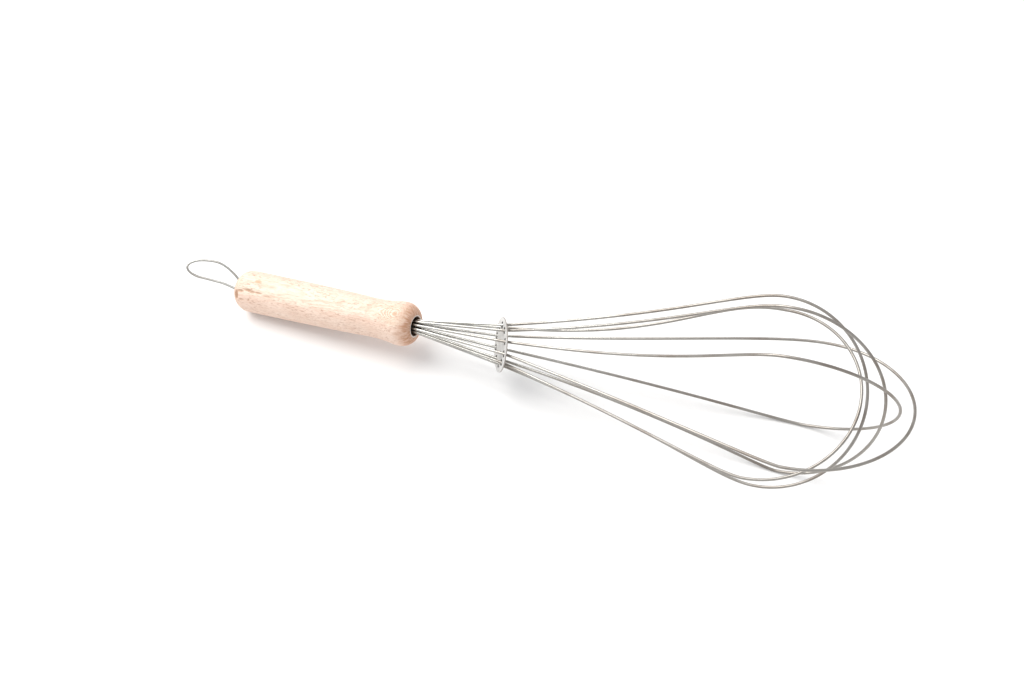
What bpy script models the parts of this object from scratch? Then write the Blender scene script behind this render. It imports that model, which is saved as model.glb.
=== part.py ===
"""Balloon whisk: five steel wire loops, a loose spacer disc and a turned beech handle.

Every piece hangs from one empty at the handle's mouth. The empty's X axis runs along the whisk towards
the tips of the loops, and its rotation lays the whisk on a table the way it comes to rest: on the rear
of the handle and on two of its loops. Tables of sizes are in millimetres, and MM turns them into metres.
"""

import math

import bmesh
import bpy
from mathutils import Matrix, Vector

MM = 0.001

# Rest: the whisk is rolled about its own axis, pitched up towards the tips and stood on the ground.
REST_ROLL = math.radians(35.9)
REST_PITCH = math.radians(5.53)
MOUTH_PLACE = (-51.98 * MM, -3.42 * MM, 24.085 * MM)

# Handle: depth below the mouth and radius, in mm, from the crest of the collar back to the tail.
GRIP_STATIONS = (
    (8.5, 13.15),
    (18, 12.05),
    (28, 11.6),
    (42, 12.05),
    (62, 12.45),
    (85, 12.75),
    (117, 12.9),
)
HANDLE_LENGTH = 125.5 * MM
TAIL_ROUND = 8.5 * MM  # edge radius round the butt face
MOUTH_RADIUS = 5.85 * MM
MOUTH_LIP = 0.35 * MM  # width of the flat rim round the mouth
MOUTH_DEPTH = 22 * MM  # the wide part of the bore
BORE_RADIUS = 4.6 * MM
BORE_DEPTH = 62 * MM
BUTT_HOLE_RADIUS = 2.8 * MM
BUTT_HOLE_DEPTH = 27 * MM
HANDLE_FACETS = 36

# Whisking loops: one wire each, with both ends in the bore and each end through a hole of the disc.
WIRE_DIAMETER = 1.6 * MM
WIRE_SEAT_DEPTH = 60 * MM
BORE_RING_RADIUS = 3.4 * MM  # where the ten wire ends stand round the bore's axis
BELLY_SHARE = 0.81  # the widest station of a loop, as a share of its reach
SHOULDER_REACH = 0.65  # how far along the flare its shoulder stands, as a share of the flare
TWIST_FADE = 2.2  # how soon a loop turns out of its disc holes' plane into its own
FLARE_STEPS = 13
TIP_STEPS = 9
# plane: the angle round the whisk of the loop's first side, in degrees. reach: past the mouth, and
# half_width: at the belly, in mm. lean: the sideways set that use has given it at the tip, in mm.
# sides: for each side its disc hole, how high the flare's shoulder stands and how much of the flare
# runs level into the belly, as shares, and how far it swings aside halfway, in degrees.
LOOPS = (
    dict(plane=-53, reach=278.5, half_width=49.5, lean=5.5, sides=((8, 0.61, 0.14, 1), (3, 0.78, 0.06, -5))),
    dict(plane=67, reach=271.5, half_width=50, lean=9.5, sides=((2, 0.05, 0.15, -0.5), (7, 0.57, 0.1, 1.5))),
    dict(plane=32, reach=264.5, half_width=51.5, lean=8, sides=((1, 0.46, 0.15, -3.5), (6, 0.42, 0.06, -0.5))),
    dict(plane=6.5, reach=255.5, half_width=50, lean=6.5, sides=((0, 0.52, 0.135, 0), (5, 0.5, 0.14, 0))),
    dict(plane=-22, reach=252.5, half_width=46.5, lean=6, sides=((9, 0.16, 0.25, 6), (4, 0.605, 0.09, 0))),
)

# Spacer disc: a stamped washer that floats on the wires and has settled aslant on them.
DISC_STATION = 55.2 * MM
DISC_RADIUS = 15.7 * MM
DISC_THICKNESS = 0.6 * MM
DISC_SLANT = (math.radians(6.3), math.radians(-36.9))  # of its face towards the whisk's Y and Z
DISC_TURN = math.radians(2.8)
DISC_FACETS = 48
HOLE_COUNT = 10
HOLE_RING_RADIUS = 11.2 * MM
HOLE_DIAMETER = 3.6 * MM
HOLE_FACETS = 16

# Wedge driven up between the ten wire ends: a cone with its thick end towards the mouth.
WIRE_WEDGE_SPAN = (24 * MM, 59 * MM)
WIRE_WEDGE_RADII = (2.3 * MM, 1.6 * MM)
WIRE_WEDGE_FACETS = 20

# Hanging loop: one bent wire with both legs in the butt hole, lying level whatever the whisk's roll.
# Each point is a depth below the mouth and a distance sideways, in mm.
HANGER_DIAMETER = 1.5 * MM
HANGER_LEG = 1.75
HANGER_ROUTE = (
    (103, -HANGER_LEG),
    (123, -HANGER_LEG),
    (131, -0.5),
    (141, 1.2),
    (152, 1.8),
    (162, 2.3),
    (169, 4.2),
    (173, 7.0),
    (173.5, 10.2),
    (170, 13.4),
    (163, 15.3),
    (154, 15.7),
    (146, 13.7),
    (138, 10.1),
    (132, 6.6),
    (127.5, 3.2),
    (122.5, HANGER_LEG),
    (103, HANGER_LEG),
)
HANGER_STEPS = 3

# Wedge that locks the hanging loop's legs apart in the butt hole.
BUTT_WEDGE_SPAN = (105 * MM, 125 * MM)
BUTT_WEDGE_THICKNESS = 1.4 * MM
BUTT_WEDGE_WIDTH = 3.6 * MM
BUTT_WEDGE_TAPER = 0.6  # its inner end, as a share of its outer one

# Looks: base colour, roughness and metallic value.
BEECH = ((0.80, 0.60, 0.42), 0.55, 0.0)
TINNED_STEEL = ((0.72, 0.71, 0.69), 0.22, 1.0)
STAMPED_STEEL = ((0.62, 0.61, 0.60), 0.38, 1.0)


def clear_scene():
    for thing in list(bpy.data.objects):
        bpy.data.objects.remove(thing, do_unlink=True)


def new_collection(name):
    collection = bpy.data.collections.new(name)
    bpy.context.scene.collection.children.link(collection)
    return collection


def finish(name, look):
    colour, roughness, metallic = look
    material = bpy.data.materials.new(name)
    material.use_nodes = True
    material.diffuse_color = (*colour, 1)
    shader = material.node_tree.nodes["Principled BSDF"]
    shader.inputs["Base Color"].default_value = (*colour, 1)
    shader.inputs["Roughness"].default_value = roughness
    shader.inputs["Metallic"].default_value = metallic
    return material


def add_piece(name, data, look, whisk):
    piece = bpy.data.objects.new(name, data)
    piece.parent = whisk["axis"]
    whisk["pieces"].objects.link(piece)
    data.materials.append(finish(name + "_finish", look))
    return piece


def smooth_through(points, steps):
    """A Catmull-Rom curve through the points, leaving both ends level: steps points to a span."""
    spots = [Vector(point) for point in points]
    before = Vector((2 * spots[0].x - spots[1].x, spots[1].y))
    after = Vector((2 * spots[-1].x - spots[-2].x, spots[-2].y))
    spots = [before, *spots, after]
    curve = []
    for a, b, c, d in zip(spots, spots[1:], spots[2:], spots[3:]):
        for step in range(steps):
            t = step / steps
            bend = (2 * a - 5 * b + 4 * c - d) * t**2 + (3 * b - a - 3 * c + d) * t**3
            curve.append(b + ((c - a) * t + bend) / 2)
    curve.append(spots[-2])
    return curve


def quarter_arc(centre, radii, first_angle, steps):
    """A quarter of an ellipse, turning clockwise: points as (radius, height) of a turned profile."""
    arc = []
    for step in range(steps + 1):
        angle = first_angle - math.pi / 2 * step / steps
        arc.append((centre[0] + radii[0] * math.cos(angle), centre[1] + radii[1] * math.sin(angle)))
    return arc


def turned(name, profile, facets, look, whisk):
    """A solid turned about its Z axis, from a (radius, height) profile that runs down its outer side."""
    mesh = bpy.data.meshes.new(name)
    corners = [(radius, 0, height) for radius, height in profile]
    mesh.from_pydata(corners, [(i, i + 1) for i in range(len(corners) - 1)], [])
    piece = add_piece(name, mesh, look, whisk)
    screw = piece.modifiers.new("turn", "SCREW")
    screw.steps = facets
    screw.render_steps = facets
    screw.use_merge_vertices = True
    screw.merge_threshold = 0.01 * MM
    piece.rotation_euler = (0, math.pi / 2, 0)
    return piece


def keep_as_mesh(piece, sharp_angle):
    """Replaces a piece's mesh with what its modifiers make of it, shaded smooth between its edges."""
    evaluated = piece.evaluated_get(bpy.context.evaluated_depsgraph_get())
    mesh = bpy.data.meshes.new_from_object(evaluated)
    mesh.shade_smooth()
    mesh.set_sharp_from_angle(angle=sharp_angle)
    piece.modifiers.clear()
    piece.data = mesh
    mesh.name = piece.name


def handle_profile():
    """From the bottom of the bore, out over the mouth, along the grip and into the butt hole."""
    crest_depth, crest_radius = (size * MM for size in GRIP_STATIONS[0])
    tail_radius = GRIP_STATIONS[-1][1] * MM
    rim = MOUTH_RADIUS + MOUTH_LIP
    bore = [
        (0, -BORE_DEPTH),
        (BORE_RADIUS, -BORE_DEPTH),
        (BORE_RADIUS, -MOUTH_DEPTH),
        (MOUTH_RADIUS, -MOUTH_DEPTH),
        (MOUTH_RADIUS, 0),
    ]
    nose = quarter_arc((rim, -crest_depth), (crest_radius - rim, crest_depth), math.pi / 2, 7)
    grip = [(point.y * MM, -point.x * MM) for point in smooth_through(GRIP_STATIONS, 3)]
    tail_centre = (tail_radius - TAIL_ROUND, TAIL_ROUND - HANDLE_LENGTH)
    tail = quarter_arc(tail_centre, (TAIL_ROUND, TAIL_ROUND), 0, 6)
    butt_hole = [
        (BUTT_HOLE_RADIUS, -HANDLE_LENGTH),
        (BUTT_HOLE_RADIUS, BUTT_HOLE_DEPTH - HANDLE_LENGTH),
        (0, BUTT_HOLE_DEPTH - HANDLE_LENGTH),
    ]
    return [*bore, *nose, *grip[1:-1], *tail, *butt_hole]


def make_handle(whisk):
    handle = turned("handle", handle_profile(), HANDLE_FACETS, BEECH, whisk)
    keep_as_mesh(handle, math.radians(40))


def wire(name, route, diameter, look, whisk):
    """A round wire with flat ends along a route of points in the whisk's own frame."""
    curve = bpy.data.curves.new(name, "CURVE")
    curve.dimensions = "3D"
    curve.bevel_depth = diameter / 2
    curve.bevel_resolution = 2
    curve.use_fill_caps = True
    spline = curve.splines.new("POLY")
    spline.points.add(len(route) - 1)
    for spot, place in zip(spline.points, route):
        spot.co = (*place, 1)
    spline.use_smooth = True
    return add_piece(name, curve, look, whisk)


def disc_turn():
    """The rotation that lays a disc, flat on X and Y, aslant across the whisk."""
    face = Vector((1, math.tan(DISC_SLANT[0]), math.tan(DISC_SLANT[1]))).normalized()
    first = (Vector((0, 1, 0)) - face * face.y).normalized()
    return Matrix((first, face.cross(first), face)).transposed()


def hole_angle(index):
    return DISC_TURN + index * math.tau / HOLE_COUNT


def hole_on_disc(index):
    """The centre of one of the disc's holes, in the disc's own plane."""
    angle = hole_angle(index)
    return Vector((HOLE_RING_RADIUS * math.cos(angle), HOLE_RING_RADIUS * math.sin(angle), 0))


def disc_hole(index):
    """The centre of one of the disc's holes, in the whisk's frame."""
    return Vector((DISC_STATION, 0, 0)) + disc_turn() @ hole_on_disc(index)


def around(station, radius, angle):
    """A point at a station along the whisk, at a radius and an angle round its axis."""
    return Vector((station, radius * math.cos(angle), radius * math.sin(angle)))


def flare_share(t, shoulder, ease):
    """How far along and how far out the flare has come: a cubic Bezier from (0, 0) to (1, 1)."""
    early = 3 * (1 - t) ** 2 * t
    late = 3 * (1 - t) * t**2
    along = early * SHOULDER_REACH + late * (1 - ease) + t**3
    out = early * shoulder + late + t**3
    return along, out


def loop_side(loop, side):
    """Half of a loop, from its seat in the bore through its disc hole and round to the tip."""
    index, shoulder, ease, swing = loop["sides"][side]
    hole = disc_hole(index)
    hole_radius = math.hypot(hole.y, hole.z)
    plane = math.radians(loop["plane"]) + side * math.pi
    twist = math.remainder(math.atan2(hole.z, hole.y) - plane, math.tau)
    reach = loop["reach"] * MM
    half_width = loop["half_width"] * MM
    belly = BELLY_SHARE * reach
    seat_angle = hole_angle(index)
    route = [
        around(-WIRE_SEAT_DEPTH, BORE_RING_RADIUS, seat_angle),
        around(-3 * MM, BORE_RING_RADIUS, seat_angle),
        around(0, BORE_RING_RADIUS, seat_angle).lerp(hole, 0.06),
    ]
    lean_from = len(route)
    for step in range(FLARE_STEPS + 1):
        along, out = flare_share(step / FLARE_STEPS, shoulder, ease)
        turn = twist * (1 - along) ** TWIST_FADE + math.radians(swing) * 4 * along * (1 - along)
        radius = hole_radius + (half_width - hole_radius) * out
        route.append(around(hole.x + (belly - hole.x) * along, radius, plane + turn))
    for step in range(1, TIP_STEPS + 1):
        angle = math.pi / 2 * step / TIP_STEPS
        station = belly + (reach - belly) * math.sin(angle)
        route.append(around(station, half_width * math.cos(angle), plane))
    for spot in route[lean_from:]:
        spot.y += loop["lean"] * MM * (spot.x - hole.x) / (reach - hole.x)
    return route


def make_loops(whisk):
    for number, loop in enumerate(LOOPS, start=1):
        route = loop_side(loop, 0) + loop_side(loop, 1)[-2::-1]
        wire(f"wire_loop_{number}", route, WIRE_DIAMETER, TINNED_STEEL, whisk)


def add_cylinder(shape, radius, depth, facets, place):
    bmesh.ops.create_cone(
        shape,
        cap_ends=True,
        segments=facets,
        radius1=radius,
        radius2=radius,
        depth=depth,
        matrix=Matrix.Translation(place),
    )


def mesh_of(name, shape):
    mesh = bpy.data.meshes.new(name)
    shape.to_mesh(mesh)
    shape.free()
    return mesh


def make_spacer_disc(whisk):
    plate = bmesh.new()
    add_cylinder(plate, DISC_RADIUS, DISC_THICKNESS, DISC_FACETS, (0, 0, 0))
    disc = add_piece("spacer_disc", mesh_of("spacer_disc", plate), STAMPED_STEEL, whisk)
    disc.location = (DISC_STATION, 0, 0)
    disc.rotation_euler = disc_turn().to_euler()

    punches = bmesh.new()
    for index in range(HOLE_COUNT):
        add_cylinder(punches, HOLE_DIAMETER / 2, 4 * DISC_THICKNESS, HOLE_FACETS, hole_on_disc(index))
    cutter = bpy.data.objects.new("disc_punches", mesh_of("disc_punches", punches))
    cutter.parent = disc
    cutter.hide_render = True
    cutter.display_type = "WIRE"
    whisk["cutters"].objects.link(cutter)
    holes = disc.modifiers.new("holes", "BOOLEAN")
    holes.object = cutter
    holes.solver = "EXACT"


def make_wire_wedge(whisk):
    near, far = WIRE_WEDGE_SPAN
    thick, thin = WIRE_WEDGE_RADII
    profile = [(0, -near), (thick, -near), (thin, -far), (0, -far)]
    wedge = turned("wire_wedge", profile, WIRE_WEDGE_FACETS, BEECH, whisk)
    keep_as_mesh(wedge, math.radians(40))


def make_hanging_loop(whisk):
    route = [(-point.x * MM, point.y * MM, 0) for point in smooth_through(HANGER_ROUTE, HANGER_STEPS)]
    hanger = wire("hanging_loop", route, HANGER_DIAMETER, TINNED_STEEL, whisk)
    hanger.rotation_euler = (-REST_ROLL, 0, 0)


def make_butt_wedge(whisk):
    near, far = BUTT_WEDGE_SPAN
    size = Vector((far - near, BUTT_WEDGE_THICKNESS, BUTT_WEDGE_WIDTH))
    block = bmesh.new()
    bmesh.ops.create_cube(block, size=1, matrix=Matrix.Diagonal(size.to_4d()))
    for corner in block.verts:
        if corner.co.x > 0:
            corner.co.y *= BUTT_WEDGE_TAPER
    wedge = add_piece("butt_wedge", mesh_of("butt_wedge", block), BEECH, whisk)
    wedge.location = (-(near + far) / 2, 0, 0)
    wedge.rotation_euler = (-REST_ROLL, 0, 0)


def main():
    clear_scene()
    axis = bpy.data.objects.new("whisk_axis", None)
    axis.location = MOUTH_PLACE
    axis.rotation_euler = (REST_ROLL, -REST_PITCH, 0)
    whisk = {
        "axis": axis,
        "pieces": new_collection("balloon_whisk"),
        "cutters": new_collection("balloon_whisk_cutters"),
    }
    whisk["pieces"].objects.link(axis)
    make_handle(whisk)
    make_loops(whisk)
    make_spacer_disc(whisk)
    make_wire_wedge(whisk)
    make_hanging_loop(whisk)
    make_butt_wedge(whisk)


main()
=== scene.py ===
"""Looks of the balloon whisk: fine wires, a worn beech handle and a stamped disc around the CAD frame."""
import math

import bmesh
import bpy
from mathutils import Euler, Matrix, Vector, noise


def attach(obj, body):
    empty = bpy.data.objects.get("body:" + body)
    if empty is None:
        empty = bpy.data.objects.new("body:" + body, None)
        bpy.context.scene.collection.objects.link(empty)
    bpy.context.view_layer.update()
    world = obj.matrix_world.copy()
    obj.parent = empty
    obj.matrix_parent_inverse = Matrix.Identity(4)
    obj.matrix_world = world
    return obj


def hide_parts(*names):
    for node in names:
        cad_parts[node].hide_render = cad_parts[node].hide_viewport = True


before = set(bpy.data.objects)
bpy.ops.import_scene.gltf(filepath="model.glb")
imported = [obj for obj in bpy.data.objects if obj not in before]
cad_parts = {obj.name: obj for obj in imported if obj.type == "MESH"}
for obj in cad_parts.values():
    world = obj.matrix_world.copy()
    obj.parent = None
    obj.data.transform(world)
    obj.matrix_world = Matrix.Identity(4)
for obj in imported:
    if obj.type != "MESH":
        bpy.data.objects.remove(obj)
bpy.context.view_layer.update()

MM = 0.001

# The whisk's own frame, as the CAD has it: X runs from the handle's mouth towards the tips of the loops.
REST_ROLL = math.radians(35.9)
REST_PITCH = math.radians(5.53)
MOUTH_PLACE = Vector((-51.98, -3.42, 24.085)) * MM
WHISK = Matrix.Translation(MOUTH_PLACE) @ Euler((REST_ROLL, -REST_PITCH, 0)).to_matrix().to_4x4()

# Handle, as the CAD turns it: depth below the mouth and radius, in mm.
GRIP_STATIONS = (
    (8.5, 13.15),
    (18, 12.05),
    (28, 11.6),
    (42, 12.05),
    (62, 12.45),
    (85, 12.75),
    (117, 12.9),
)
HANDLE_LENGTH = 125.5 * MM
TAIL_ROUND = 8.5 * MM
MOUTH_RADIUS = 5.85 * MM
MOUTH_LIP = 0.35 * MM
MOUTH_DEPTH = 22 * MM
BORE_RADIUS = 4.6 * MM
BORE_DEPTH = 62 * MM
BUTT_HOLE_RADIUS = 2.8 * MM
BUTT_HOLE_DEPTH = 27 * MM
HANDLE_FACETS = 240
GRIP_STEPS = 30
NOSE_STEPS = 60
TAIL_STEPS = 26
WALL_STEP = 2 * MM
BUTT_HOLE_BREAK = 0.3 * MM  # how far the butt hole's edge is broken outwards, and a little more inwards
ON_WALL = 0.01 * MM  # a point this near to a bore's wall belongs to the bore

# Marks of wear on the handle. Knot: depth below the mouth in mm and angle round it in degrees.
KNOT = (106.5, 55)
KNOT_SIZE = (2.9, 1.7)  # half length and half width, in mm
KNOT_SINK = 0.12 * MM
CHIP_SPREAD = 1.35  # the reach of a chip's frayed edge, as a share of the chip
CHIP_FRAY = 0.175
CHIP_FINENESS = 2100
CHIP_LEAST = 0.06
CHIP_FULL_DEPTH = 0.3  # from this depth on, in mm, a chip shows in full
STAINED_DEPTH = 0.4  # chips torn deeper than this, in mm, are stained as well
MARK_GAIN = 2.2  # how steeply a mark rises from its edge
RIM_REGION = 3 * MM  # the rim and the stain round the mouth end this far down
RIM_WAVES = ((0.22 * MM, 3.1), (0.1 * MM, 9))  # height and fineness of the waves in the rim's edge
RIM_FADE = 0.22 * MM
STAIN_PLACE = 0.85 * MM
STAIN_HALF_WIDTH = 0.45 * MM
TOOL_MARK = 0.02 * MM
TOOL_PITCH = 1.9 * MM
CHIPS = (
    (120, 103, 1.5, 2.6, 0.55),
    (117, 90, 2.6, 0.7, 0.35),
    (111.5, 84, 2.4, 0.8, 0.45),
    (108.0, 87.5, 1.7, 0.8, 0.4),
    (103.5, 86.5, 2.4, 0.55, 0.35),
    (116, 113, 1.8, 0.45, 0.25),
    (110.3, 110.5, 0.7, 0.6, 0.3),
    (97, 91, 3.2, 0.45, 0.18),
    (70.9, 60.8, 0.8, 0.5, 0.15),
    (28.2, 70, 0.9, 1.9, 0.12),
    (27.2, 56, 0.8, 2.1, 0.12),
    (26.0, 42, 0.8, 1.9, 0.10),
    (6.0, 118, 2.4, 0.5, 0.15),
)  # depth, angle, half length and half width in mm, and how deep the wood is torn in mm

# Loops, as the CAD bends them. Counts of steps are finer here.
WIRE_DIAMETER = 1.6 * MM
WIRE_SEAT_DEPTH = 60 * MM
BORE_RING_RADIUS = 3.4 * MM
BELLY_SHARE = 0.81
SHOULDER_REACH = 0.65
TWIST_FADE = 2.2
FLARE_STEPS = 64
TIP_STEPS = 44
BEND_STEPS = 8  # where a wire leaves the bore and bends towards its hole
BEND_START = 6 * MM
BEND_REACH = 0.11  # how far the bend goes towards the hole, as a share of the way there
WIRE_ROUNDNESS = 6
# plane: the angle round the whisk of the loop's first side, in degrees. reach: past the mouth, and
# half_width: at the belly, in mm. lean: the sideways set that use has given it at the tip, in mm.
# sides: for each side its disc hole, how high the flare's shoulder stands and how much of the flare
# runs level into the belly, as shares, and how far it swings aside halfway, in degrees.
LOOPS = (
    dict(
        plane=-53, reach=278.5, half_width=49.5, lean=5.5,
        sides=((8, 0.61, 0.14, 1), (3, 0.78, 0.06, -5)),
    ),
    dict(
        plane=67, reach=271.5, half_width=50, lean=9.5,
        sides=((2, 0.05, 0.15, -0.5), (7, 0.57, 0.1, 1.5)),
    ),
    dict(
        plane=32, reach=264.5, half_width=51.5, lean=8,
        sides=((1, 0.46, 0.15, -3.5), (6, 0.42, 0.06, -0.5)),
    ),
    dict(
        plane=6.5, reach=255.5, half_width=50, lean=6.5,
        sides=((0, 0.52, 0.135, 0), (5, 0.5, 0.14, 0)),
    ),
    dict(
        plane=-22, reach=252.5, half_width=46.5, lean=6,
        sides=((9, 0.16, 0.25, 6), (4, 0.605, 0.09, 0)),
    ),
)

# Spacer disc, aslant on the wires as the CAD has it.
DISC_STATION = 55.2 * MM
DISC_RADIUS = 15.7 * MM
DISC_THICKNESS = 0.6 * MM
DISC_SLANT = (math.radians(6.3), math.radians(-36.9))
DISC_TURN = math.radians(2.8)
HOLE_COUNT = 10
HOLE_RING_RADIUS = 11.2 * MM
HOLE_DIAMETER = 3.6 * MM
DISC_FACETS = 128
HOLE_FACETS = 40
DISC_EDGE_ROUND = 0.09 * MM

# Hanging loop: depth below the mouth and distance sideways, in mm.
HANGER_DIAMETER = 1.5 * MM
HANGER_LEG = 1.75
HANGER_ROUTE = (
    (103, -HANGER_LEG),
    (123, -HANGER_LEG),
    (131, -0.5),
    (141, 1.2),
    (152, 1.8),
    (162, 2.3),
    (169, 4.2),
    (173, 7.0),
    (173.5, 10.2),
    (170, 13.4),
    (163, 15.3),
    (154, 15.7),
    (146, 13.7),
    (138, 10.1),
    (132, 6.6),
    (127.5, 3.2),
    (122.5, HANGER_LEG),
    (103, HANGER_LEG),
)
HANGER_STEPS = 12

# Where the looks of the wood change: each pair is where a change starts and where it is complete, in
# metres along the whisk for a span, and up from its axis along GRAIN_UP for a height.
GRAIN_UP = (0.454, 0.891)  # the y and z of the direction across which the tree's layers lie
RING_WAVES = 10500  # radians of the growth rings' wave to a metre, and below of the swirl's
SWIRL_WAVES = 23000
LAYER_WARP = 0.003
SWIRL_REAR_SPAN = (-0.0245, -0.0165)
SWIRL_FRONT_SPAN = (-0.0045, -0.0080)
SWIRL_HEIGHT = (0.0106, 0.0118)
FLANK_TONE_AND_SHADE_HEIGHT = (0.01220, 0.01135)
FLANK_FRAY = 0.0024
UNDERSIDE_SHADE_HEIGHT = (0.006, -0.008)
NOSE_SPAN = (-0.0088, -0.0008)
MOUTH_SPAN = (-0.0062, -0.0004)
TAIL_SPAN = (-0.1165, -0.1245)

# Where the looks of the metal change, in the same way; a reach is from the middle of a punched hole.
WORN_SPAN = (0.02, 0.16)
DISC_SHADE_START = (0.0545, 0.0575)
DISC_SHADE_END = (0.085, 0.06)
WALL_SHADE_REACH = (0.00205, 0.00188)
GRIME_AND_SHADE_REACH = (0.0017, 0.0011)
GRIME_AND_SHADE_CREEP = 0.0012
EDGE_REACH = (DISC_RADIUS - 0.2 * MM, DISC_RADIUS - 0.05 * MM)  # this one from the middle of the disc

# Edges sharper than this aren't shaded smooth.
HANDLE_SHARP = math.radians(60)
PLATE_SHARP = math.radians(30)
DISC_SHARP = math.radians(50)

# Colours of the wood, from its ground to its marks; some stand for painted light and shade, as noted below.
CREAM = (0.86, 0.745, 0.62)
CREAM_SHADE = (0.85, 0.70, 0.585)
# Pinker flanks: the wood's tone with painted shade. The underside colour below is painted shade.
FLANK_PINK_AND_SHADE = (0.82, 0.58, 0.485)
UNDERSIDE_SHADE = (0.80, 0.545, 0.45)
MOTTLE = (0.70, 0.46, 0.34)
RING = (0.68, 0.44, 0.31)
SWIRL = (0.60, 0.38, 0.24)
FIBRE = (0.60, 0.36, 0.25)
PORE = (0.46, 0.27, 0.17)
FLECK = (0.45, 0.245, 0.155)
# End grain at the nose, mouth and tail, each darkened with painted shade as well.
END_GRAIN_AND_SHADE = (0.58, 0.285, 0.15)
MOUTH_GRAIN_AND_SHADE = (0.36, 0.17, 0.09)
TAIL_GRAIN_AND_SHADE = (0.64, 0.40, 0.28)
KNOT_BROWN = (0.72, 0.38, 0.23)
TORN_WOOD = (0.47, 0.27, 0.165)
STAIN = (0.30, 0.15, 0.08)
# A pale worn rim for the mouth, partly a painted highlight on its chamfer.
WORN_RIM_AND_HIGHLIGHT = (0.80, 0.72, 0.66)
# Painted shade down the bores.
BORE_SHADE = (0.085, 0.042, 0.02)

# Colours of the metal, with painted shade for the holes' walls and round the holes.
LOOP_TIN = (0.52, 0.52, 0.495)
HANGER_TIN = (0.40, 0.40, 0.38)
TIN_STREAK = (0.26, 0.25, 0.23)
# Tarnish, also the colour of the painted shade just past the disc.
TARNISH = (0.205, 0.165, 0.135)
TIN_SPECK = (0.16, 0.11, 0.08)
SHEET = (0.74, 0.74, 0.725)
SHEET_BLOOM = (0.64, 0.635, 0.62)
# Grime with painted shade round the holes, and painted shade on the holes' walls.
GRIME_AND_SHADE = (0.30, 0.26, 0.21)
HOLE_WALL_SHADE = (0.03, 0.025, 0.02)
SHEET_EDGE = (0.30, 0.255, 0.225)

# Floor, light and air of the studio.
FLOOR_COLOURS = ((0.88, 0.88, 0.875), (0.9, 0.9, 0.895))
FLOOR_HALF_SIZE = 1.6
KEY_PLACE = (-0.72, 0.25, 1.3)
KEY_SIZE = (1.3, 1.1)
KEY_POWER = 21
KEY_COLOUR = (1.0, 0.985, 0.96)
AIR_COLOUR = (0.98, 0.98, 1.0)
AIR_STRENGTH = 0.82

# Camera: where it stands, and the directions in which it looks and in which its picture runs.
CAMERA_PLACE = Vector((209.5, -307.3, 560.4)) * MM
CAMERA_FORWARD = Vector((-0.31162, 0.47644, -0.82213))
CAMERA_RIGHT = Vector((0.91778, 0.37501, -0.13055))
CAMERA_LENS = 40.25


# Geometry ---------------------------------------------------------------------------------------------


def smooth_through(points, steps):
    """A Catmull-Rom curve through the points, leaving both ends level: steps points to a span."""
    spots = [Vector(point) for point in points]
    before = Vector((2 * spots[0].x - spots[1].x, spots[1].y))
    after = Vector((2 * spots[-1].x - spots[-2].x, spots[-2].y))
    spots = [before, *spots, after]
    curve = []
    for a, b, c, d in zip(spots, spots[1:], spots[2:], spots[3:]):
        for step in range(steps):
            t = step / steps
            bend = (2 * a - 5 * b + 4 * c - d) * t**2 + (3 * b - a - 3 * c + d) * t**3
            curve.append(b + ((c - a) * t + bend) / 2)
    curve.append(spots[-2])
    return curve


def quarter_arc(centre, radii, first_angle, steps):
    """A quarter of an ellipse, turning clockwise: points as (radius, height)."""
    arc = []
    for step in range(steps + 1):
        angle = first_angle - math.pi / 2 * step / steps
        arc.append((centre[0] + radii[0] * math.cos(angle), centre[1] + radii[1] * math.sin(angle)))
    return arc


def straight(start, end):
    """Points from start up to, but not at, end, close enough together for the wear to shape them."""
    steps = max(1, round((Vector(end) - Vector(start)).length / WALL_STEP))
    return [tuple(Vector(start).lerp(Vector(end), step / steps)) for step in range(steps)]


def add_piece(name, data, material, matrix=WHISK):
    """The piece with its place in its data, as the CAD's own pieces have theirs."""
    data.transform(matrix)
    data.materials.append(material)
    piece = bpy.data.objects.new(name, data)
    bpy.context.scene.collection.objects.link(piece)
    return piece


def stand_for(piece, node, body="whisk"):
    """The piece moves with the body, and is shown in place of the CAD's node."""
    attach(piece, body)
    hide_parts(node)


def mesh_of(name, shape, sharp_angle):
    mesh = bpy.data.meshes.new(name)
    shape.to_mesh(mesh)
    shape.free()
    mesh.shade_smooth()
    mesh.set_sharp_from_angle(angle=sharp_angle)
    return mesh


def around(station, radius, angle):
    """A point at a station along the whisk, at a radius and an angle round its axis."""
    return Vector((station, radius * math.cos(angle), radius * math.sin(angle)))


# Materials --------------------------------------------------------------------------------------------


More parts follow.
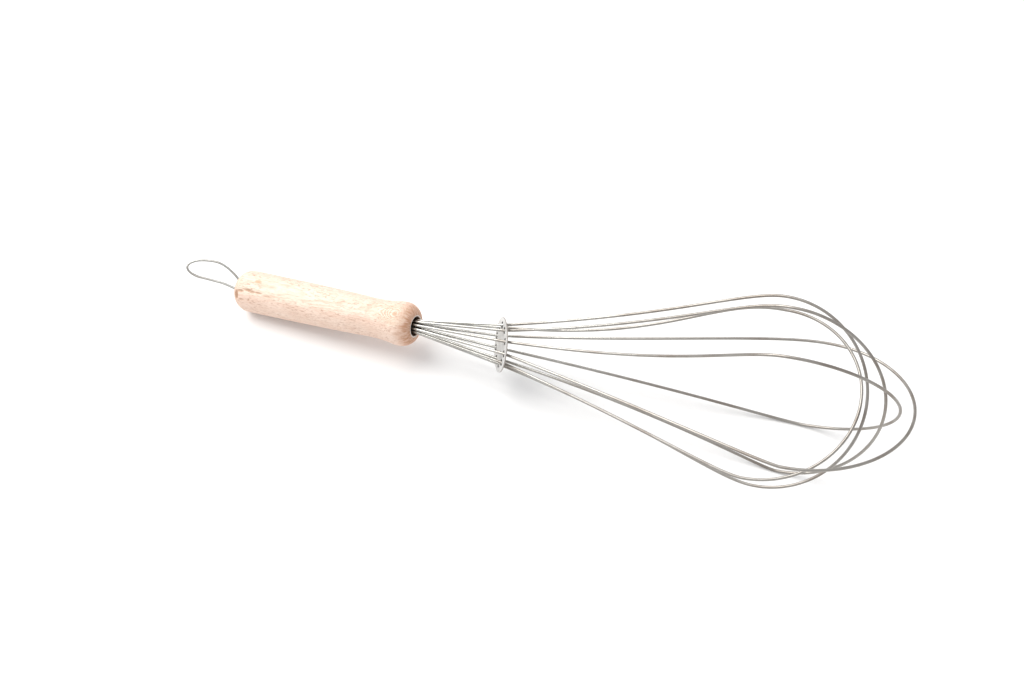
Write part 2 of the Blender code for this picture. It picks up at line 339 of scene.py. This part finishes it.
class Nodes:
    """Short calls for building one material's node tree."""

    def __init__(self, name, matrix=WHISK):
        """The coordinates that the textures see are those of the piece before the matrix lays it down."""
        self.material = bpy.data.materials.new(name)
        self.material.use_nodes = True
        self.tree = self.material.node_tree
        self.shader = self.tree.nodes["Principled BSDF"]
        laid_down = self.tree.nodes.new("ShaderNodeMapping")
        laid_down.vector_type = "TEXTURE"
        laid_down.inputs["Location"].default_value = matrix.to_translation()
        laid_down.inputs["Rotation"].default_value = matrix.to_euler()
        self.put(laid_down.inputs["Vector"], self.tree.nodes.new("ShaderNodeTexCoord").outputs["Object"])
        self.place = laid_down.outputs[0]

    def put(self, socket, value):
        if isinstance(value, bpy.types.NodeSocket):
            self.tree.links.new(value, socket)
        else:
            socket.default_value = value

    def math(self, operation, first, second=0.0, clamp=False):
        node = self.tree.nodes.new("ShaderNodeMath")
        node.operation = operation
        node.use_clamp = clamp
        for socket, value in zip(node.inputs, (first, second)):
            self.put(socket, value)
        return node.outputs[0]

    def scaled(self, scale):
        """The place, in units of 1 / scale metres along each axis."""
        node = self.tree.nodes.new("ShaderNodeVectorMath")
        node.operation = "MULTIPLY"
        self.put(node.inputs[0], self.place)
        node.inputs[1].default_value = scale
        return node.outputs[0]

    def joined(self, x, y, z):
        node = self.tree.nodes.new("ShaderNodeCombineXYZ")
        for socket, value in zip(node.inputs, (x, y, z)):
            self.put(socket, value)
        return node.outputs[0]

    def noise(self, vector, detail=2.0, roughness=0.5):
        node = self.tree.nodes.new("ShaderNodeTexNoise")
        self.put(node.inputs["Vector"], vector)
        node.inputs["Scale"].default_value = 1.0
        node.inputs["Detail"].default_value = detail
        node.inputs["Roughness"].default_value = roughness
        return node.outputs[0]

    def split(self):
        """The place's x, y and z."""
        node = self.tree.nodes.new("ShaderNodeSeparateXYZ")
        self.put(node.inputs[0], self.place)
        return node.outputs

    def steps(self, value, low, high):
        """0 at low and 1 at high, smoothly between; low may be the larger of the two."""
        node = self.tree.nodes.new("ShaderNodeMapRange")
        node.interpolation_type = "SMOOTHSTEP"
        self.put(node.inputs["Value"], value)
        node.inputs["From Min"].default_value = low
        node.inputs["From Max"].default_value = high
        return node.outputs[0]

    def mix(self, share, first, second):
        node = self.tree.nodes.new("ShaderNodeMix")
        node.data_type = "RGBA"
        self.put(node.inputs["Factor"], share)
        colour_a, colour_b = [socket for socket in node.inputs if socket.type == "RGBA"]
        self.put(colour_a, first if isinstance(first, bpy.types.NodeSocket) else (*first, 1))
        self.put(colour_b, second if isinstance(second, bpy.types.NodeSocket) else (*second, 1))
        return [socket for socket in node.outputs if socket.type == "RGBA"][0]

    def painted(self, name):
        """A share that the mesh holds for each of its points."""
        node = self.tree.nodes.new("ShaderNodeAttribute")
        node.attribute_name = name
        return node.outputs["Fac"]

    def bump(self, height, distance, strength):
        node = self.tree.nodes.new("ShaderNodeBump")
        node.inputs["Strength"].default_value = strength
        node.inputs["Distance"].default_value = distance
        self.put(node.inputs["Height"], height)
        return node.outputs[0]

    def set(self, **values):
        """Fills the shader's sockets, named with _ for a space, and gives the finished material."""
        for name, value in values.items():
            self.put(self.shader.inputs[name.replace("_", " ")], value)
        return self.material


def beech():
    """Pale beech: faint growth rings, short dark flecks along the grain, bare worn ends and chips, with
    painted shade on the flanks, the underside, both ends and down the bores, and a painted highlight on the
    mouth's rim.
    """
    n = Nodes("beech")
    x, y, z = n.split()
    warp = n.noise(n.scaled((20, 55, 55)), detail=3)
    # The tree's layers lie across the direction that the whisk's upper side faces.
    height = n.math("ADD", n.math("MULTIPLY", y, GRAIN_UP[0]), n.math("MULTIPLY", z, GRAIN_UP[1]))
    # Where the grip swells at its front, they close into ovals round its highest place.
    bend = n.noise(n.scaled((220, 330, 330)), detail=1)
    swirl = n.math("ADD", n.math("MULTIPLY", height, SWIRL_WAVES), n.math("MULTIPLY", bend, 3))
    swirl = n.math("SINE", swirl)
    swirl_reach = n.math("MULTIPLY", n.steps(x, *SWIRL_REAR_SPAN), n.steps(x, *SWIRL_FRONT_SPAN))
    swirl_reach = n.math("MULTIPLY", swirl_reach, n.steps(height, *SWIRL_HEIGHT))
    swirl = n.math("MULTIPLY", n.steps(swirl, -0.2, 0.9), swirl_reach)
    layer = n.math("ADD", height, n.math("MULTIPLY", warp, LAYER_WARP))
    rings = n.steps(n.math("SINE", n.math("MULTIPLY", layer, RING_WAVES)), -0.1, 1.0)
    ring_breaks = n.noise(n.scaled((60, 240, 240)), detail=2)
    rings = n.math("MULTIPLY", rings, n.steps(ring_breaks, 0.36, 0.62))
    rings = n.math("MULTIPLY", rings, n.math("SUBTRACT", 1.0, swirl_reach))
    fibres = n.noise(n.scaled((150, 1700, 1700)), detail=3, roughness=0.65)
    mottle = n.noise(n.scaled((110, 560, 560)), detail=3)
    patches = n.noise(n.scaled((45, 140, 140)), detail=3)
    clouds = n.noise(n.scaled((14, 55, 55)), detail=2)
    flecks = n.noise(n.scaled((360, 1700, 1700)), detail=1)
    flecks = n.math("MULTIPLY", n.steps(flecks, 0.60, 0.68), n.steps(patches, 0.36, 0.56))
    pores = n.noise(n.scaled((230, 3000, 3000)), detail=1)
    pores = n.steps(pores, 0.60, 0.74)

    # Cream along the upper side, then pinker beyond a ragged line on either flank: the wood's own tone,
    # together with painted shade down the flanks.
    ragged_edge = n.noise(n.scaled((75, 210, 210)), detail=4, roughness=0.6)
    ragged_edge = n.math("MULTIPLY", ragged_edge, FLANK_FRAY)
    flank_and_shade_share = n.steps(n.math("ADD", height, ragged_edge), *FLANK_TONE_AND_SHADE_HEIGHT)
    colour = n.mix(n.steps(clouds, 0.3, 0.72), CREAM, CREAM_SHADE)
    colour = n.mix(n.math("MULTIPLY", flank_and_shade_share, 0.45), colour, FLANK_PINK_AND_SHADE)
    # Painted shade: pinker and darker on the underside.
    underside_shade_share = n.steps(height, *UNDERSIDE_SHADE_HEIGHT)
    colour = n.mix(n.math("MULTIPLY", underside_shade_share, 0.27), colour, UNDERSIDE_SHADE)
    colour = n.mix(n.math("MULTIPLY", n.steps(mottle, 0.42, 0.66), 0.24), colour, MOTTLE)
    colour = n.mix(n.math("MULTIPLY", rings, 0.46), colour, RING)
    colour = n.mix(n.math("MULTIPLY", swirl, 0.8), colour, SWIRL)
    colour = n.mix(n.math("MULTIPLY", n.steps(fibres, 0.46, 0.72), 0.36), colour, FIBRE)
    colour = n.mix(n.math("MULTIPLY", pores, 0.42), colour, PORE)
    colour = n.mix(n.math("MULTIPLY", flecks, 0.66), colour, FLECK)

    # End grain over the nose, curling into the mouth, and a fainter tone of it at the tail; both ends are
    # darkened further with painted shade, the nose and the mouth most, as they face away from the lamp.
    nose = n.steps(x, *NOSE_SPAN)
    turn = n.math("MULTIPLY", n.math("ARCTAN2", z, y), 15)
    reach = n.math("SQRT", n.math("ADD", n.math("MULTIPLY", y, y), n.math("MULTIPLY", z, z)))
    curled = n.joined(n.math("MULTIPLY", x, 230), turn, n.math("MULTIPLY", reach, 230))
    end_grain = n.steps(n.noise(curled, detail=3), 0.36, 0.66)
    nose_grain_shade_share = n.math("MULTIPLY", nose, n.math("ADD", 0.34, n.math("MULTIPLY", end_grain, 0.5)))
    colour = n.mix(nose_grain_shade_share, colour, END_GRAIN_AND_SHADE)
    mouth_grain_shade_share = n.math("MULTIPLY", n.steps(x, *MOUTH_SPAN), n.math("ADD", 0.22, end_grain))
    colour = n.mix(n.math("MULTIPLY", mouth_grain_shade_share, 0.42), colour, MOUTH_GRAIN_AND_SHADE)
    tail = n.steps(x, *TAIL_SPAN)
    colour = n.mix(n.math("MULTIPLY", tail, 0.5), colour, TAIL_GRAIN_AND_SHADE)

    # The marks of wear that the mesh itself holds, and the painted highlight on the mouth's rim and painted
    # shade in the bores that it holds as well.
    colour = n.mix(n.math("MULTIPLY", n.painted("knot"), 0.85), colour, KNOT_BROWN)
    torn = n.noise(n.scaled((700, 2200, 2200)), detail=2)
    chip = n.math("MULTIPLY", n.painted("chip"), n.math("ADD", 0.45, torn), clamp=True)
    colour = n.mix(n.math("MULTIPLY", chip, 0.82), colour, TORN_WOOD)
    colour = n.mix(n.painted("stain"), colour, STAIN)
    # The mouth's pale worn rim, partly a painted highlight.
    colour = n.mix(n.math("MULTIPLY", n.painted("rim"), 0.95), colour, WORN_RIM_AND_HIGHLIGHT)
    # Painted shade down the bores.
    colour = n.mix(n.painted("bore"), colour, BORE_SHADE)

    relief = n.math("ADD", n.math("MULTIPLY", fibres, 0.5), n.math("MULTIPLY", flecks, -0.9))
    relief = n.math("SUBTRACT", relief, n.math("MULTIPLY", pores, 0.5))
    relief = n.math("ADD", relief, n.math("MULTIPLY", rings, 0.12))
    roughness = n.math("ADD", 0.48, n.math("MULTIPLY", fibres, 0.22))
    return n.set(Base_Color=colour, Roughness=roughness, Normal=n.bump(relief, 0.00012, 0.7), IOR=1.45)


def tinned_wire(name, tone, tarnish, matrix=WHISK):
    """Drawn wire with a worn tin coat: bright by the handle, browner and duller out towards the tips, with
    painted shade just past the disc.
    """
    n = Nodes(name, matrix)
    x = n.split()[0]
    streaks = n.noise(n.scaled((350, 500, 500)), detail=3)
    patches = n.noise(n.scaled((45, 70, 70)), detail=4, roughness=0.6)
    specks = n.noise(n.scaled((900, 1400, 1400)), detail=2)
    worn = n.math("MULTIPLY", n.steps(x, *WORN_SPAN), 0.55)
    # Painted shade on the wires just past the disc, laid on with the tarnish colour.
    disc_shade_share = n.math("MULTIPLY", n.steps(x, *DISC_SHADE_START), n.steps(x, *DISC_SHADE_END))
    tarnish_and_shade_share = n.math("MULTIPLY", n.steps(patches, 0.40, 0.68), tarnish)
    tarnish_and_shade_share = n.math("ADD", n.math("ADD", tarnish_and_shade_share, worn), n.math("MULTIPLY", disc_shade_share, 0.35), clamp=True)
    colour = n.mix(n.math("MULTIPLY", n.steps(streaks, 0.4, 0.75), 0.22), tone, TIN_STREAK)
    colour = n.mix(n.math("MULTIPLY", tarnish_and_shade_share, 0.85), colour, TARNISH)
    colour = n.mix(n.math("MULTIPLY", n.steps(specks, 0.70, 0.78), 0.4), colour, TIN_SPECK)
    roughness = n.math("ADD", 0.16, n.math("MULTIPLY", tarnish_and_shade_share, 0.16))
    roughness = n.math("ADD", roughness, n.math("MULTIPLY", streaks, 0.10))
    return n.set(Base_Color=colour, Metallic=1.0, Roughness=roughness, Normal=n.bump(streaks, 0.00002, 0.3))


def stamped_steel(matrix):
    """Pale rolled sheet: lengthways roll marks, a dull bloom, grime with painted shade round each hole,
    painted shade on the holes' walls and a dark outer edge.
    """
    n = Nodes("stamped_steel", matrix)
    x, y = n.split()[:2]
    turn = n.math("SUBTRACT", n.math("ARCTAN2", y, x), DISC_TURN)
    pitch = math.tau / HOLE_COUNT
    nearest = n.math("MULTIPLY", n.math("ROUND", n.math("DIVIDE", turn, pitch)), pitch)
    off = n.math("SUBTRACT", turn, nearest)
    radius = n.math("SQRT", n.math("ADD", n.math("MULTIPLY", x, x), n.math("MULTIPLY", y, y)))
    along = n.math("SUBTRACT", n.math("MULTIPLY", radius, n.math("COSINE", off)), HOLE_RING_RADIUS)
    across = n.math("MULTIPLY", radius, n.math("SINE", off))
    reach = n.math("ADD", n.math("MULTIPLY", along, along), n.math("MULTIPLY", across, across))
    reach = n.math("SQRT", reach)
    # Painted shade on the holes' walls and on the face just round them.
    wall_shade_share = n.steps(reach, *WALL_SHADE_REACH)
    # Grime with painted shade on the face round each hole.
    creep = n.math("MULTIPLY", n.noise(n.scaled((900, 900, 900)), detail=3), GRIME_AND_SHADE_CREEP)
    grime_and_shade_share = n.steps(n.math("SUBTRACT", reach, creep), *GRIME_AND_SHADE_REACH)
    roll = n.noise(n.scaled((120, 3000, 3000)), detail=2)
    bloom = n.noise(n.scaled((160, 160, 160)), detail=4)
    colour = n.mix(n.steps(bloom, 0.35, 0.7), SHEET, SHEET_BLOOM)
    colour = n.mix(n.math("MULTIPLY", grime_and_shade_share, 0.55), colour, GRIME_AND_SHADE)
    colour = n.mix(n.math("MULTIPLY", wall_shade_share, 0.95), colour, HOLE_WALL_SHADE)
    edge = n.steps(radius, *EDGE_REACH)
    colour = n.mix(n.math("MULTIPLY", edge, 0.75), colour, SHEET_EDGE)
    roughness = n.math("ADD", 0.46, n.math("MULTIPLY", bloom, 0.2))
    return n.set(Base_Color=colour, Metallic=0.6, Roughness=roughness, Normal=n.bump(roll, 0.00004, 0.5))


def floor_finish():
    """A plain pale floor with the faintest mottle."""
    n = Nodes("studio_floor", Matrix())
    mottle = n.noise(n.scaled((6, 6, 6)), detail=3)
    colour = n.mix(mottle, *FLOOR_COLOURS)
    return n.set(Base_Color=colour, Roughness=0.7)


# Handle -----------------------------------------------------------------------------------------------


def handle_profile():
    """(radius, height) from the bottom of the bore, out over the mouth, down the grip and into the butt."""
    crest_depth, crest_radius = (size * MM for size in GRIP_STATIONS[0])
    tail_radius = GRIP_STATIONS[-1][1] * MM
    rim = MOUTH_RADIUS + MOUTH_LIP
    bore = [(0, -BORE_DEPTH)]
    bore += straight((BORE_RADIUS, -BORE_DEPTH), (BORE_RADIUS, -MOUTH_DEPTH))
    bore += [(BORE_RADIUS, -MOUTH_DEPTH)]
    bore += straight((MOUTH_RADIUS, -MOUTH_DEPTH), (MOUTH_RADIUS, -1 * MM))
    bore += [(MOUTH_RADIUS, -1 * MM), (MOUTH_RADIUS, -0.45 * MM), (MOUTH_RADIUS + 0.12 * MM, -0.12 * MM)]
    nose = quarter_arc((rim, -crest_depth), (crest_radius - rim, crest_depth), math.pi / 2, NOSE_STEPS)
    grip = [(point.y * MM, -point.x * MM) for point in smooth_through(GRIP_STATIONS, GRIP_STEPS)]
    tail_centre = (tail_radius - TAIL_ROUND, TAIL_ROUND - HANDLE_LENGTH)
    tail = quarter_arc(tail_centre, (TAIL_ROUND, TAIL_ROUND), 0, TAIL_STEPS)
    butt_hole = [
        (BUTT_HOLE_RADIUS + BUTT_HOLE_BREAK, -HANDLE_LENGTH),
        (BUTT_HOLE_RADIUS, 0.4 * MM - HANDLE_LENGTH),
        (BUTT_HOLE_RADIUS, BUTT_HOLE_DEPTH - HANDLE_LENGTH),
        (0, BUTT_HOLE_DEPTH - HANDLE_LENGTH),
    ]
    return [*bore, *nose, *grip[1:-1], *tail, *butt_hole]


def turned_shape(profile, facets):
    """The profile turned round X, along which its heights lie: 0 is the mouth and the butt is below it."""
    shape = bmesh.new()
    rings = []
    for radius, height in profile:
        if radius == 0:
            rings.append([shape.verts.new((height, 0, 0))])
            continue
        turns = (step * math.tau / facets for step in range(facets))
        rings.append([shape.verts.new(around(height, radius, turn)) for turn in turns])
    for near, far in zip(rings, rings[1:]):
        for step in range(facets):
            after = (step + 1) % facets
            corners = [near[step % len(near)], near[after % len(near)]]
            corners += [far[after % len(far)], far[step % len(far)]]
            shape.faces.new(list(dict.fromkeys(corners)))
    bmesh.ops.recalc_face_normals(shape, faces=shape.faces)
    return shape


def near_mark(depth, angle, spot, half_length, half_width):
    """1 at the middle of an oval mark on the handle's skin and 0 at its edge; spot is (x, y, z)."""
    radius = math.hypot(spot.y, spot.z)
    turn = math.remainder(math.atan2(spot.z, spot.y) - math.radians(angle), math.tau)
    along = (-spot.x / MM - depth) / half_length
    across = turn * radius / MM / half_width
    return max(0.0, 1 - math.hypot(along, across))


def ragged(spot, fineness):
    """Noise between about -1 and 1 that is drawn out along the grain."""
    return noise.noise(Vector((spot.x * 0.35, spot.y, spot.z)) * fineness)


def wear_handle(mesh):
    """Moves the skin in at knots and chips and ripples it with faint tool marks, and paints where each kind
    of wear is, with painted shade down the bores and a painted highlight on the mouth's rim.
    """
    rim = MOUTH_RADIUS + MOUTH_LIP
    marks = {name: [0.0] * len(mesh.vertices) for name in ("knot", "chip", "rim", "stain", "bore")}
    for vertex in mesh.vertices:
        spot = vertex.co.copy()
        radius = math.hypot(spot.y, spot.z)
        depth = -spot.x
        inside = radius < MOUTH_RADIUS + ON_WALL and depth < BORE_DEPTH + MM
        butt_hole = radius < BUTT_HOLE_RADIUS + ON_WALL and depth > BORE_DEPTH + MM
        # Painted shade inside the bores: darker from the mouth's edge inwards, and all through the butt hole.
        if inside or butt_hole:
            marks["bore"][vertex.index] = min(1.0, depth / (1.2 * MM)) if inside else 1.0
            continue
        outward = Vector((0, spot.y, spot.z)).normalized()
        knot = near_mark(*KNOT, spot, *KNOT_SIZE)
        marks["knot"][vertex.index] = min(1.0, MARK_GAIN * knot)
        sink = KNOT_SINK * knot
        chip_share = 0.0
        stain_share = 0.0
        fray = CHIP_FRAY * ragged(spot, CHIP_FINENESS)
        for chip_depth, angle, half_length, half_width, torn in CHIPS:
            reach = (half_length * CHIP_SPREAD, half_width * CHIP_SPREAD)
            near = near_mark(chip_depth, angle, spot, *reach) + fray
            near = max(0.0, min(1.0, near * MARK_GAIN)) if near > CHIP_LEAST else 0.0
            chip_share = max(chip_share, near * min(1.0, torn / CHIP_FULL_DEPTH))
            stain_share = max(stain_share, near * max(0.0, torn - STAINED_DEPTH) * 3.6)
            sink = max(sink, torn * MM * near)
        marks["chip"][vertex.index] = chip_share
        marks["stain"][vertex.index] = stain_share
        edge_wave = sum(height * noise.noise(outward * fineness) for height, fineness in RIM_WAVES)
        lip = radius - rim - edge_wave
        if depth < RIM_REGION:
            # The mouth's pale rim: worn wood and a painted highlight.
            marks["rim"][vertex.index] = max(0.0, min(1.0, 2.6 - lip / RIM_FADE))
            stain = 1 - abs(lip - STAIN_PLACE) / STAIN_HALF_WIDTH
            patchy = 0.5 + 0.9 * noise.noise(outward * 4 + Vector((3, 1, 7)))
            marks["stain"][vertex.index] = 0.4 * max(0.0, stain) * max(0.0, min(1.0, patchy))
        tool_mark = TOOL_MARK * math.sin(depth / TOOL_PITCH)
        tool_mark *= noise.noise(outward * 1.5 + Vector((depth * 60, 0, 0)))
        vertex.co = spot - outward * (sink + tool_mark)
    for name, values in marks.items():
        layer = mesh.attributes.new(name, "FLOAT", "POINT")
        layer.data.foreach_set("value", values)


def make_handle():
    shape = turned_shape(handle_profile(), HANDLE_FACETS)
    mesh = mesh_of("worn_handle", shape, HANDLE_SHARP)
    wear_handle(mesh)
    handle = add_piece("worn_handle", mesh, beech())
    stand_for(handle, "handle")


# Wires ------------------------------------------------------------------------------------------------


def disc_turn():
    """The rotation that lays a disc, flat on X and Y, aslant across the whisk."""
    face = Vector((1, math.tan(DISC_SLANT[0]), math.tan(DISC_SLANT[1]))).normalized()
    first = (Vector((0, 1, 0)) - face * face.y).normalized()
    return Matrix((first, face.cross(first), face)).transposed()


def hole_angle(index):
    """The angle of one of the disc's holes round the disc."""
    return DISC_TURN + index * math.tau / HOLE_COUNT


def hole_on_disc(index):
    """The centre of one of the disc's holes, in the disc's own plane."""
    angle = hole_angle(index)
    return Vector((HOLE_RING_RADIUS * math.cos(angle), HOLE_RING_RADIUS * math.sin(angle), 0))


def disc_hole(index):
    """The centre of one of the disc's holes, in the whisk's frame."""
    return Vector((DISC_STATION, 0, 0)) + disc_turn() @ hole_on_disc(index)


def flare_share(t, shoulder, ease):
    """How far along and how far out the flare has come: a cubic Bezier from (0, 0) to (1, 1)."""
    early = 3 * (1 - t) ** 2 * t
    late = 3 * (1 - t) * t**2
    return early * SHOULDER_REACH + late * (1 - ease) + t**3, early * shoulder + late + t**3


def loop_side(loop, side):
    """Half of a loop, from its seat in the bore through its disc hole and round to the tip."""
    index, shoulder, ease, swing = loop["sides"][side]
    hole = disc_hole(index)
    hole_radius = math.hypot(hole.y, hole.z)
    plane = math.radians(loop["plane"]) + side * math.pi
    twist = math.remainder(math.atan2(hole.z, hole.y) - plane, math.tau)
    reach = loop["reach"] * MM
    half_width = loop["half_width"] * MM
    belly = BELLY_SHARE * reach
    seat = around(-WIRE_SEAT_DEPTH, BORE_RING_RADIUS, hole_angle(index))
    mouth = around(0, BORE_RING_RADIUS, hole_angle(index))
    bend_start = around(-BEND_START, BORE_RING_RADIUS, hole_angle(index))
    bend_end = mouth.lerp(hole, BEND_REACH)
    route = [seat, seat.lerp(mouth, 0.5)]
    for step in range(BEND_STEPS + 1):
        share = step / BEND_STEPS
        route.append(bend_start.lerp(mouth, share).lerp(mouth.lerp(bend_end, share), share))
    route.append(mouth.lerp(hole, 0.5))
    lean_from = len(route)
    for step in range(FLARE_STEPS + 1):
        along, out = flare_share(step / FLARE_STEPS, shoulder, ease)
        turn = twist * (1 - along) ** TWIST_FADE + math.radians(swing) * 4 * along * (1 - along)
        radius = hole_radius + (half_width - hole_radius) * out
        route.append(around(hole.x + (belly - hole.x) * along, radius, plane + turn))
    for step in range(1, TIP_STEPS + 1):
        angle = math.pi / 2 * step / TIP_STEPS
        station = belly + (reach - belly) * math.sin(angle)
        route.append(around(station, half_width * math.cos(angle), plane))
    for spot in route[lean_from:]:
        spot.y += loop["lean"] * MM * (spot.x - hole.x) / (reach - hole.x)
    return route


def wire(name, route, diameter, material, matrix=WHISK):
    """A round wire with flat ends along a route of points, laid down by the matrix."""
    curve = bpy.data.curves.new(name, "CURVE")
    curve.dimensions = "3D"
    curve.bevel_depth = diameter / 2
    curve.bevel_resolution = WIRE_ROUNDNESS
    curve.use_fill_caps = True
    spline = curve.splines.new("POLY")
    spline.points.add(len(route) - 1)
    for spot, place in zip(spline.points, route):
        spot.co = (*place, 1)
    spline.use_smooth = True
    return add_piece(name, curve, material, matrix)


def make_loops():
    bright = tinned_wire("tinned_wire", LOOP_TIN, 0.35)
    for number, loop in enumerate(LOOPS, start=1):
        route = loop_side(loop, 0) + loop_side(loop, 1)[-2::-1]
        stand_for(wire(f"loop_wire_{number}", route, WIRE_DIAMETER, bright), f"wire_loop_{number}")


def make_hanging_loop():
    route = [(-point.x * MM, point.y * MM, 0) for point in smooth_through(HANGER_ROUTE, HANGER_STEPS)]
    level = WHISK @ Matrix.Rotation(-REST_ROLL, 4, "X")
    finish = tinned_wire("hanger_wire", HANGER_TIN, 0.5, level)
    stand_for(wire("hanger_wire", route, HANGER_DIAMETER, finish, level), "hanging_loop")


# Spacer disc ------------------------------------------------------------------------------------------


def add_cylinder(shape, radius, depth, facets, place):
    bmesh.ops.create_cone(
        shape,
        cap_ends=True,
        segments=facets,
        radius1=radius,
        radius2=radius,
        depth=depth,
        matrix=Matrix.Translation(place),
    )


def make_disc():
    """The stamped disc, with drawn-over edges where the die went through."""
    shape = bmesh.new()
    add_cylinder(shape, DISC_RADIUS, DISC_THICKNESS, DISC_FACETS, (0, 0, 0))
    lie = WHISK @ Matrix.Translation((DISC_STATION, 0, 0)) @ disc_turn().to_4x4()
    steel = stamped_steel(lie)
    disc = add_piece("stamped_disc", mesh_of("stamped_disc", shape, PLATE_SHARP), steel, lie)
    punches = bmesh.new()
    for index in range(HOLE_COUNT):
        add_cylinder(punches, HOLE_DIAMETER / 2, 4 * DISC_THICKNESS, HOLE_FACETS, hole_on_disc(index))
    cutter = add_piece("punches", mesh_of("punches", punches, PLATE_SHARP), steel, lie)
    holes = disc.modifiers.new("holes", "BOOLEAN")
    holes.object = cutter
    holes.solver = "EXACT"
    edges = disc.modifiers.new("edges", "BEVEL")
    edges.width = DISC_EDGE_ROUND
    edges.segments = 3
    edges.limit_method = "ANGLE"
    bpy.context.view_layer.update()
    graph = bpy.context.evaluated_depsgraph_get()
    made = bpy.data.meshes.new_from_object(disc.evaluated_get(graph))
    disc.modifiers.clear()
    disc.data = made
    made.shade_smooth()
    made.set_sharp_from_angle(angle=DISC_SHARP)
    bpy.data.objects.remove(cutter, do_unlink=True)
    stand_for(disc, "spacer_disc", "disc")


# Hidden pieces, floor, lights and camera ---------------------------------------------------------------


def finish_hidden_pieces():
    """The two wedges inside the handle stay as the CAD has them, in the same wood."""
    wedge_wood = beech()
    wedge_wood.name = "wedge_beech"
    for node in ("wire_wedge", "butt_wedge"):
        for slot in bpy.data.objects[node].material_slots:
            slot.material = wedge_wood


def make_floor():
    shape = bmesh.new()
    bmesh.ops.create_grid(shape, x_segments=1, y_segments=1, size=FLOOR_HALF_SIZE)
    floor = add_piece("floor", mesh_of("floor", shape, PLATE_SHARP), floor_finish(), Matrix())


def make_lights():
    """One large soft lamp that faces the whisk, and a bright even world round it."""
    light = bpy.data.lights.new("key", "AREA")
    light.shape = "RECTANGLE"
    light.size, light.size_y = KEY_SIZE
    light.energy = KEY_POWER
    light.color = KEY_COLOUR
    lamp = bpy.data.objects.new("key", light)
    lamp.location = KEY_PLACE
    lamp.rotation_euler = (-Vector(KEY_PLACE)).to_track_quat("-Z", "Y").to_euler()
    bpy.context.scene.collection.objects.link(lamp)
    world = bpy.data.worlds.new("studio")
    world.use_nodes = True
    background = world.node_tree.nodes["Background"]
    background.inputs["Color"].default_value = (*AIR_COLOUR, 1)
    background.inputs["Strength"].default_value = AIR_STRENGTH
    bpy.context.scene.world = world


def make_camera():
    camera = bpy.data.cameras.new("camera")
    camera.lens = CAMERA_LENS
    camera.clip_start = 0.01
    eye = bpy.data.objects.new("camera", camera)
    up = CAMERA_RIGHT.cross(CAMERA_FORWARD)
    turn = Matrix((CAMERA_RIGHT, up, -CAMERA_FORWARD)).transposed()
    eye.matrix_world = Matrix.Translation(CAMERA_PLACE) @ turn.to_4x4()
    bpy.context.scene.collection.objects.link(eye)
    bpy.context.scene.camera = eye


make_camera()
make_handle()
make_loops()
make_hanging_loop()
make_disc()
finish_hidden_pieces()
make_floor()
make_lights()
bpy.context.scene.view_settings.view_transform = "Standard"
